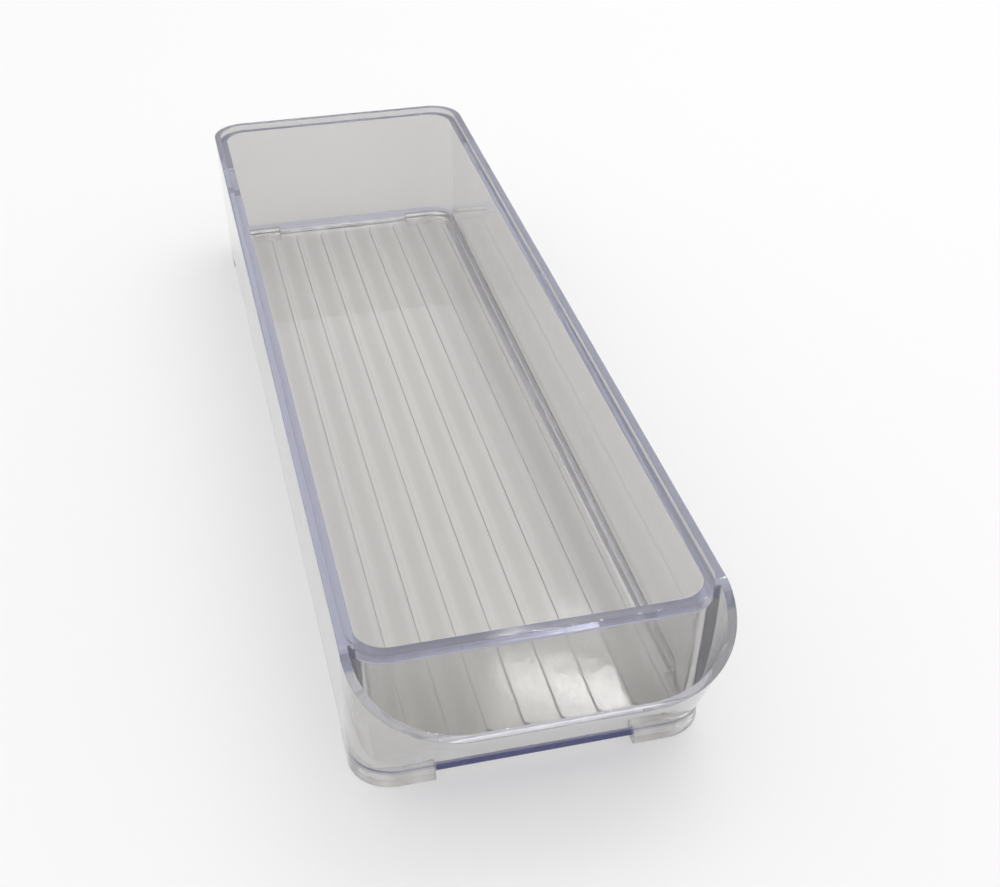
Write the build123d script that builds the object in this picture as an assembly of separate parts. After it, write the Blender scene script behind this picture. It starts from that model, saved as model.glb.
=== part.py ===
from build123d import *
import os

# A clear moulded fridge bin: one injection-moulded tub with a stepped rim, a front that flares
# forward into a finger pull, ribs along its floor, a set-back base band and a foot under each corner.
# Frame: X across, Y along with the finger pull at -Y, Z up from the feet. Millimetres.

# Overall size
rim_width = 102.0
total_length = 356.0
total_height = 52.5
foot_height = 2.5

# Outer wall: it tapers down to the base at the sides and back, and flares forward at the front
wall = 2.3
base_inset_side = 1.5
base_inset_back = 3.3
base_inset_front = 27.3
back_corner_radius = 12.2
base_corner_radius = 12.2
pull_corner_radius = 35.0

# Base band: the edge of the floor plate, set back a little under the outer wall
band_height = 3.0
band_inset = 0.7
band_edge_radius = 0.6

# Finger pull: the rim dips forward from the ends of its side strips, and a pocket lies behind it
strip_end_setback = 27.2
dip_slope = 0.47
dip_radius = 10.0
pull_thickness = 2.6
pocket_floor_height = 14.0

# Rim: a raised outer strip, and inside it a ledge that goes on across the front
ledge_width = 2.3
ledge_drop = 2.0

# Inside, with an upright front wall that carries a small lip at its top
front_wall_setback = 23.2
inner_corner_radius = 9.9
lip_height = 2.8
lip_overhang = 0.6
floor_thickness = 2.3
inner_draft = 0.6
front_draft = 3.0
floor_fillet_radius = 5.0

# Ribs along the floor
rib_count = 9
rib_pitch = 10.45
rib_width = 1.5
rib_height = 0.8
rib_end_gap = 9.0

# Feet that wrap the corners of the base band, with a groove left above them
foot_width = 5.0
foot_run = 22.0
foot_inset = 0.1
foot_groove = 0.9

# Sizes that follow from those above
back = total_length / 2
front = -total_length / 2
strip_end = front + strip_end_setback
lip_front = front + front_wall_setback
pull_tip_height = total_height - dip_slope * strip_end_setback
base_height = foot_height + band_height
flare = base_inset_front / (pull_tip_height - base_height)
side_rim = wall + ledge_width
ledge_height = total_height - ledge_drop
floor_height = foot_height + floor_thickness
above = total_height + 10.0


def section(width, back_end, front_end, back_radius, front_radius, height):
    """A rectangle at one height with its own corner radius at the back and at the front."""
    outline = Rectangle(width, back_end - front_end)
    outline = fillet(outline.vertices().group_by(Axis.Y)[-1], back_radius)
    outline = fillet(outline.vertices().group_by(Axis.Y)[0], front_radius)
    return Plane(origin=(0, (back_end + front_end) / 2, height)) * outline


def shell(height, side, front_offset):
    """The outer wall's outline at a height, moved in by one offset, and another at the front."""
    rise = (height - base_height) / (total_height - base_height)
    width = rim_width - 2 * base_inset_side * (1 - rise) - 2 * side
    back_end = back - base_inset_back * (1 - rise) - side
    front_end = front + base_inset_front - flare * (height - base_height) + front_offset
    back_radius = base_corner_radius + (back_corner_radius - base_corner_radius) * rise - side
    front_radius = base_corner_radius + (pull_corner_radius - base_corner_radius) * rise - side
    return section(width, back_end, front_end, back_radius, front_radius, height)


# Outer body, cut off at the rim, which dips forward in front of the ends of the side strips
dip_reach = 3 * strip_end_setback
rim_line = FilletPolyline(
    (back + dip_reach, total_height),
    (strip_end, total_height),
    (strip_end - dip_reach, total_height - dip_slope * dip_reach),
    radius=dip_radius,
)
rim_lid = Polyline(rim_line @ 1, (strip_end - dip_reach, 2 * above), (back + dip_reach, 2 * above), rim_line @ 0)
over_rim = extrude(Plane.YZ * make_face([rim_line, rim_lid]), amount=rim_width, both=True)
outer = loft([shell(base_height, 0, 0), shell(above, 0, 0)], ruled=True) - over_rim

# Base band below it, with a small round along its bottom edge
band_outline = Pos(0, 0, -band_height) * shell(base_height, band_inset, band_inset)
band = extrude(band_outline, amount=band_height + floor_thickness / 2)
band = fillet(band.faces().sort_by(Axis.Z)[0].edges(), band_edge_radius)

# Inside of the tub, with nearly upright walls and a rounded edge round the floor
inside_width = rim_width - 2 * side_rim
inside_back = back - side_rim
inside_front = lip_front + ledge_width
inside_radius = inner_corner_radius - ledge_width + 1.0
cavity_top = section(inside_width, inside_back, inside_front, inside_radius, inside_radius, above)
cavity_low = section(inside_width - 2 * inner_draft, inside_back - inner_draft, inside_front + front_draft,
                     inside_radius, inside_radius, floor_height)
cavity = loft([cavity_low, cavity_top], ruled=True)
cavity = fillet(cavity.faces().sort_by(Axis.Z)[0].edges(), floor_fillet_radius)

# Step inside the rim, down to the ledge
ring_width = rim_width - 2 * wall
step_outline = section(ring_width, back - wall, lip_front, inner_corner_radius, inner_corner_radius, ledge_height)
step = extrude(step_outline, amount=above - ledge_height)

# Core that the pocket leaves standing: the upright front wall, with the lip at its top
panel_front = lip_front + lip_overhang
panel_width = ring_width - 2 * lip_overhang
panel_radius = inner_corner_radius - lip_overhang
panel_low = section(panel_width, back, panel_front + front_draft, panel_radius, panel_radius, floor_height)
panel_top = section(panel_width, back, panel_front, panel_radius, panel_radius, above)
lip_low = ledge_height - lip_height
lip_outline = section(ring_width, back, lip_front, inner_corner_radius, inner_corner_radius, lip_low)
front_core = loft([panel_low, panel_top], ruled=True) + extrude(lip_outline, amount=above - lip_low)

# Pocket between the flared wall and the upright one
pocket = loft([shell(pocket_floor_height, wall, pull_thickness), shell(above, wall, pull_thickness)], ruled=True)
front_slab = Pos(0, strip_end - dip_reach / 2, above / 2) * Box(2 * rim_width, dip_reach, 2 * above)
pocket = (pocket & front_slab) - front_core

# Ribs with round ends, along the flat of the floor
floor_back = inside_back - inner_draft
floor_front = inside_front + front_draft
rib_length = floor_back - floor_front - 2 * rib_end_gap
rib_plane = Plane(origin=(0, (floor_back + floor_front) / 2, floor_height - floor_thickness / 2))
rib_outline = rib_plane * Rot(0, 0, 90) * SlotOverall(rib_length, rib_width)
rib = extrude(rib_outline, amount=rib_height + floor_thickness / 2)
ribs = [Pos(rib_pitch * (i - (rib_count - 1) / 2), 0, 0) * rib for i in range(rib_count)]

# Feet: a band along the base's outline, kept only near the four corners
foot_inner_inset = foot_inset + foot_width
foot_band = shell(base_height, foot_inset, foot_inset) - shell(base_height, foot_inner_inset, foot_inner_inset)
foot_ring = Pos(0, 0, -base_height) * extrude(foot_band, amount=base_height - foot_groove)
corner_x = rim_width / 2 - base_inset_side - foot_run / 2
corner_back = back - base_inset_back - foot_run / 2
corner_front = front + base_inset_front + foot_run / 2
corner_blocks = [Pos(x, y, 0) * Box(foot_run, foot_run, 4 * base_height)
                 for x in (-corner_x, corner_x) for y in (corner_front, corner_back)]
feet = [foot_ring & block for block in corner_blocks]

storage_bin = outer + band - pocket - step - cavity
storage_bin = storage_bin + ribs + feet

os.makedirs("parts", exist_ok=True)
export_step(storage_bin, "parts/storage_bin.step")
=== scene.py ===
import math

import bmesh
import bpy
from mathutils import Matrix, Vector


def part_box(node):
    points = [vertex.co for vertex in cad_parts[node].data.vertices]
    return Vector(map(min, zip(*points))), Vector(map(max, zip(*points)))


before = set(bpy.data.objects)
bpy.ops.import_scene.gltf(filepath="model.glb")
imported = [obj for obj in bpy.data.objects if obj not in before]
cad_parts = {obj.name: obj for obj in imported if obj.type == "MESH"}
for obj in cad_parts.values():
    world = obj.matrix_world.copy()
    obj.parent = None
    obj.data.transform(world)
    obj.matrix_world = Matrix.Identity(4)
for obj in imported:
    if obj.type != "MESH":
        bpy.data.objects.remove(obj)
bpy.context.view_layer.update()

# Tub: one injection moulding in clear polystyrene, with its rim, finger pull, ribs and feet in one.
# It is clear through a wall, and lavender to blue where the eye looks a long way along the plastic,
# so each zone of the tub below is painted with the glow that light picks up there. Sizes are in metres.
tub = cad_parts["storage_bin"]
tub_low, tub_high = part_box("storage_bin")
half_width = tub_high[0]
front_end = tub_low[1]
back_end = tub_high[1]
rim_height = tub_high[2]
polystyrene_ior = 1.57
clear_share = 0.80
melt_blue = (0.35, 0.38, 0.80, 1.0)
melt_strength = 4.0
clear_plastic = bpy.data.materials.new("clear_plastic")
clear_plastic.use_nodes = True
nodes = clear_plastic.node_tree.nodes
links = clear_plastic.node_tree.links
plastic = nodes["Principled BSDF"]
plastic.inputs["IOR"].default_value = polystyrene_ior
plastic.inputs["Transmission Weight"].default_value = clear_share
melt_tint = nodes.new("ShaderNodeVolumeAbsorption")
melt_tint.inputs["Color"].default_value = melt_blue
melt_tint.inputs["Density"].default_value = melt_strength
links.new(melt_tint.outputs["Volume"], nodes["Material Output"].inputs["Volume"])


def worked_out(operation, first, second=0.0):
    """The result of one sum; each operand is a number or the output of another node."""
    sum_node = nodes.new("ShaderNodeMath")
    sum_node.operation = operation
    for socket, operand in zip(sum_node.inputs, (first, second)):
        if isinstance(operand, bpy.types.NodeSocket):
            links.new(operand, socket)
        else:
            socket.default_value = operand
    return sum_node.outputs["Value"]


def zone_above(measure, limit, softness):
    """1 where a measure is above a limit and 0 below it, with a soft change between."""
    soft_step = nodes.new("ShaderNodeMapRange")
    soft_step.interpolation_type = "SMOOTHSTEP"
    soft_step.inputs["From Min"].default_value = limit - softness / 2
    soft_step.inputs["From Max"].default_value = limit + softness / 2
    links.new(measure, soft_step.inputs["Value"])
    return soft_step.outputs["Result"]


def zone_below(measure, limit, softness):
    """1 where a measure is below a limit and 0 above it, with a soft change between."""
    return worked_out("SUBTRACT", 1.0, zone_above(measure, limit, softness))


def overlap(zone, *other_zones):
    """1 where every one of the zones is 1."""
    for other in other_zones:
        zone = worked_out("MULTIPLY", zone, other)
    return zone


def joined(zone, *other_zones):
    """1 where any one of the zones is 1."""
    for other in other_zones:
        zone = worked_out("MAXIMUM", zone, other)
    return zone


def tinted(base, zone, tint):
    """A colour that changes to a tint inside a zone; each may be the output of another node."""
    blend = nodes.new("ShaderNodeMix")
    blend.data_type = "RGBA"
    links.new(zone, blend.inputs["Factor"])
    colour_sockets = [socket for socket in blend.inputs if socket.type == "RGBA"]
    for socket, colour in zip(colour_sockets, (base, tint)):
        if isinstance(colour, bpy.types.NodeSocket):
            links.new(colour, socket)
        else:
            socket.default_value = colour
    return [socket for socket in blend.outputs if socket.type == "RGBA"][0]


# Places on the tub, and how its faces lie: the rim and the floor are level, the walls upright.
# The front wall leans forward, so a face up to about 45 degrees from plumb counts as upright.
level_limit = 0.75
upright_limit = 0.70
facing_softness = 0.1
place = nodes.new("ShaderNodeTexCoord")
place_axes = nodes.new("ShaderNodeSeparateXYZ")
links.new(place.outputs["Object"], place_axes.inputs["Vector"])
across, along, up = place_axes.outputs
from_centre = worked_out("ABSOLUTE", across)
facing = nodes.new("ShaderNodeNewGeometry")
facing_axes = nodes.new("ShaderNodeSeparateXYZ")
links.new(facing.outputs["True Normal"], facing_axes.inputs["Vector"])
facing_along = worked_out("ABSOLUTE", facing_axes.outputs["Y"])
facing_up = worked_out("ABSOLUTE", facing_axes.outputs["Z"])
level_face = zone_above(facing_up, level_limit, facing_softness)
upright_face = zone_below(facing_up, upright_limit, facing_softness)

# Walls and floor: drawn walls a little over 2 mm thick, on a floor plate stiffened by low ribs.
# The walls look pale grey, and the floor lighter, with painted bands of light and shade at the ribs'
# pitch, for the light and shadow the ribs throw on the table below.
wall_grey = (0.80, 0.790, 0.775, 1.0)
# The floor's two band colours are painted light and painted shade from the ribs.
floor_painted_light_band = (0.94, 0.928, 0.903, 1.0)
floor_painted_shade_band = (0.84, 0.828, 0.806, 1.0)
rib_pitch = 0.01045
floor_top = 0.0062
floor_softness = 0.0015
wave_middle = 0.0
wave_height = 2.0
rib_wave = worked_out("COSINE", worked_out("MULTIPLY", across, 2 * math.pi / rib_pitch))
rib_painted_light_band = zone_above(rib_wave, wave_middle, wave_height)
floor_zone = zone_below(up, floor_top, floor_softness)
plastic_colour_and_painted_light = tinted(wall_grey, floor_zone, tinted(floor_painted_shade_band, rib_painted_light_band, floor_painted_light_band))

# Rim: a raised strip round the tub, a ledge inside it, and a lip on the wall behind the pull.
# They end walls 50 mm deep and are painted with a lavender glow, for light carried up those walls.
# The pull's edge ends a shorter wall and is painted pale, with less of that glow.
# Painted glow: the lavender and the pale stand for light carried through the plastic.
rim_painted_lavender_glow = (0.53, 0.54, 0.70, 1.0)
pull_edge_painted_pale_glow = (0.93, 0.92, 0.92, 1.0)
pull_edge_low = rim_height - 0.0175
ledge_low = rim_height - 0.0030
lip_low = rim_height - 0.0048
lip_front = front_end + 0.0224
lip_back = lip_front + 0.0056
lip_half_width = half_width - 0.0026
rim_softness = 0.0006
lip_softness = 0.0004
along_softness = 0.001
crisp_softness = 0.0002
pull_edge_zone = overlap(level_face, zone_above(up, pull_edge_low, along_softness))
rim_zone = overlap(level_face, zone_above(up, ledge_low, rim_softness))
lip_zone = overlap(
    upright_face,
    zone_above(up, lip_low, lip_softness),
    zone_above(along, lip_front, along_softness),
    zone_below(along, lip_back, along_softness),
    zone_below(from_centre, lip_half_width, crisp_softness),
)
plastic_colour_and_painted_light = tinted(plastic_colour_and_painted_light, pull_edge_zone, pull_edge_painted_pale_glow)
plastic_colour_and_painted_light = tinted(plastic_colour_and_painted_light, rim_zone, rim_painted_lavender_glow)
plastic_colour_and_painted_light = tinted(plastic_colour_and_painted_light, lip_zone, rim_painted_lavender_glow)

# Base band and feet: the floor plate's edge, set back under the walls, with a foot moulded round each
# corner and a groove above it. The band looks along the floor, so it is painted with a glow of light:
# deep blue at the front, paler elsewhere.
# Painted glow: the blue and the lavender stand for light carried along the floor plate.
floor_edge_painted_blue_glow = (0.09, 0.10, 0.42, 1.0)
side_edge_painted_lavender_glow = (0.48, 0.49, 0.68, 1.0)
base_front = front_end + 0.0273
base_back = back_end - 0.0033
base_middle = (base_front + base_back) / 2
base_half_length = (base_back - base_front) / 2
band_low = 0.0025
band_high = 0.0072
groove_low = 0.0046
band_from_centre = half_width - 0.0035
band_from_middle = base_half_length - 0.0012
band_round_corner = band_from_centre + band_from_middle - 0.0062
foot_from_centre = half_width - 0.0235
foot_from_middle = base_half_length - 0.0222
end_face_limit = 0.4
end_face_softness = 0.4
from_middle = worked_out("ABSOLUTE", worked_out("SUBTRACT", along, base_middle))
outside = joined(
    zone_above(from_centre, band_from_centre, crisp_softness),
    zone_above(from_middle, band_from_middle, crisp_softness),
    zone_above(worked_out("ADD", from_centre, from_middle), band_round_corner, crisp_softness),
)
on_foot = overlap(
    zone_above(from_centre, foot_from_centre, crisp_softness),
    zone_above(from_middle, foot_from_middle, crisp_softness),
    zone_below(up, groove_low, crisp_softness),
)
band_zone = overlap(
    upright_face,
    zone_above(up, band_low, crisp_softness),
    zone_below(up, band_high, crisp_softness),
    outside,
    worked_out("SUBTRACT", 1.0, on_foot),
)
front_edge = overlap(
    zone_above(facing_along, end_face_limit, end_face_softness),
    zone_below(along, base_middle, along_softness),
)
band_painted_glow = tinted(side_edge_painted_lavender_glow, front_edge, floor_edge_painted_blue_glow)
plastic_colour_and_painted_light = tinted(plastic_colour_and_painted_light, band_zone, band_painted_glow)
links.new(plastic_colour_and_painted_light, plastic.inputs["Base Color"])

# Polish: a polished mould leaves the tub glossy, with faint ripples where the melt shrank.
# Handling adds a little haze, and the floor is a touch more scuffed. Edges are just off sharp.
haze_scale = 25.0
haze_detail = 4.0
least_haze = 0.02
most_haze = 0.08
haze_begins = 0.35
haze_full = 0.75
floor_scuff = 0.02
ripple_scale = 60.0
ripple_detail = 2.0
ripple_strength = 0.16
ripple_height = 0.0004
edge_radius = 0.0004
handling = nodes.new("ShaderNodeTexNoise")
handling.inputs["Scale"].default_value = haze_scale
handling.inputs["Detail"].default_value = haze_detail
links.new(place.outputs["Object"], handling.inputs["Vector"])
haze = nodes.new("ShaderNodeMapRange")
haze.inputs["From Min"].default_value = haze_begins
haze.inputs["From Max"].default_value = haze_full
haze.inputs["To Min"].default_value = least_haze
haze.inputs["To Max"].default_value = most_haze
links.new(handling.outputs["Fac"], haze.inputs["Value"])
scuff = worked_out("MULTIPLY", floor_zone, floor_scuff)
links.new(worked_out("ADD", haze.outputs["Result"], scuff), plastic.inputs["Roughness"])
soft_edge = nodes.new("ShaderNodeBevel")
soft_edge.samples = 4
soft_edge.inputs["Radius"].default_value = edge_radius
ripple = nodes.new("ShaderNodeTexNoise")
ripple.inputs["Scale"].default_value = ripple_scale
ripple.inputs["Detail"].default_value = ripple_detail
links.new(place.outputs["Object"], ripple.inputs["Vector"])
rippled_face = nodes.new("ShaderNodeBump")
rippled_face.inputs["Strength"].default_value = ripple_strength
rippled_face.inputs["Distance"].default_value = ripple_height
links.new(ripple.outputs["Fac"], rippled_face.inputs["Height"])
links.new(soft_edge.outputs["Normal"], rippled_face.inputs["Normal"])
links.new(rippled_face.outputs["Normal"], plastic.inputs["Normal"])
tub.data.materials.clear()
tub.data.materials.append(clear_plastic)

# Floor: a wide sheet of matt white card, a hair below the feet so that the two don't coincide.
# To the eye, straight or through the plastic, part of it is plain white and part takes the shadow.
card_half = 4.0
card_gap = 0.0003
card_colour = (0.92, 0.92, 0.92, 1.0)
card_roughness = 0.8
card_shine = 0.1
card_white_share = 0.35
card_mesh = bpy.data.meshes.new("floor")
card_shape = bmesh.new()
bmesh.ops.create_grid(card_shape, x_segments=1, y_segments=1, size=card_half)
bmesh.ops.translate(card_shape, verts=card_shape.verts, vec=(0, 0, tub_low[2] - card_gap))
card_shape.to_mesh(card_mesh)
card_shape.free()
floor = bpy.data.objects.new("floor", card_mesh)
bpy.context.scene.collection.objects.link(floor)
card_white = bpy.data.materials.new("card_white")
card_white.use_nodes = True
nodes = card_white.node_tree.nodes
links = card_white.node_tree.links
card = nodes["Principled BSDF"]
card.inputs["Base Color"].default_value = card_colour
card.inputs["Roughness"].default_value = card_roughness
card.inputs["Specular IOR Level"].default_value = card_shine
plain_white = nodes.new("ShaderNodeEmission")
ray = nodes.new("ShaderNodeLightPath")
seen = joined(
    ray.outputs["Is Camera Ray"],
    ray.outputs["Is Glossy Ray"],
    ray.outputs["Is Transmission Ray"],
)
card_look = nodes.new("ShaderNodeMixShader")
links.new(worked_out("MULTIPLY", seen, card_white_share), card_look.inputs["Fac"])
links.new(card.outputs["BSDF"], card_look.inputs[1])
links.new(plain_white.outputs["Emission"], card_look.inputs[2])
links.new(card_look.outputs["Shader"], nodes["Material Output"].inputs["Surface"])
card_mesh.materials.append(card_white)

# Light: an even white room, a soft lamp overhead and a narrow one far behind the bin on the right.
# The narrow one lights no matt face: it shows as a highlight on the tub's floor, near the front.
# Light turns many times inside the plastic, and ten turns are enough for the tub to look clear.
room_white = (1.0, 1.0, 1.0, 1.0)
room_strength = 0.92
room = bpy.data.worlds.new("room")
bpy.context.scene.world = room
room.use_nodes = True
room_light = room.node_tree.nodes["Background"]
room_light.inputs["Color"].default_value = room_white
room_light.inputs["Strength"].default_value = room_strength
overhead_place = (0.45, 0.25, 1.1)
narrow_place = (1.140, 2.615, 2.812)
for lamp_name, width, depth, power, lamp_place, tilt, turn, lights_matt_faces in (
    ("overhead", 0.9, 0.9, 2.2, overhead_place, -15.0, -60.0, True),
    ("narrow", 0.95, 0.09, 30.0, narrow_place, -47.67, -21.28, False),
):
    lamp_data = bpy.data.lights.new(lamp_name, "AREA")
    lamp_data.shape = "ELLIPSE"
    lamp_data.size = width
    lamp_data.size_y = depth
    lamp_data.energy = power
    lamp = bpy.data.objects.new(lamp_name, lamp_data)
    lamp.location = lamp_place
    lamp.rotation_euler = (math.radians(tilt), 0, math.radians(turn))
    lamp.visible_camera = False
    lamp.visible_diffuse = lights_matt_faces
    bpy.context.scene.collection.objects.link(lamp)
turns_in_plastic = 10
bpy.context.scene.cycles.max_bounces = turns_in_plastic
bpy.context.scene.cycles.transmission_bounces = turns_in_plastic
bpy.context.scene.cycles.glossy_bounces = turns_in_plastic

# Camera: where the photograph was taken from, in front of the bin, above it and to its left.
# It looks down along the bin and turns a little to the right.
camera_place = (-0.08142, -0.43857, 0.30993)
view_down = math.radians(34.51)
view_turn = math.radians(-13.93)
camera_data = bpy.data.cameras.new("camera")
camera_data.sensor_width = 36.0
camera_data.lens = 56.21
camera_data.clip_start = 0.01
camera = bpy.data.objects.new("camera", camera_data)
camera.location = camera_place
camera.rotation_euler = (math.pi / 2 - view_down, 0, view_turn)
bpy.context.scene.collection.objects.link(camera)
bpy.context.scene.camera = camera
bpy.context.scene.view_settings.view_transform = "Standard"
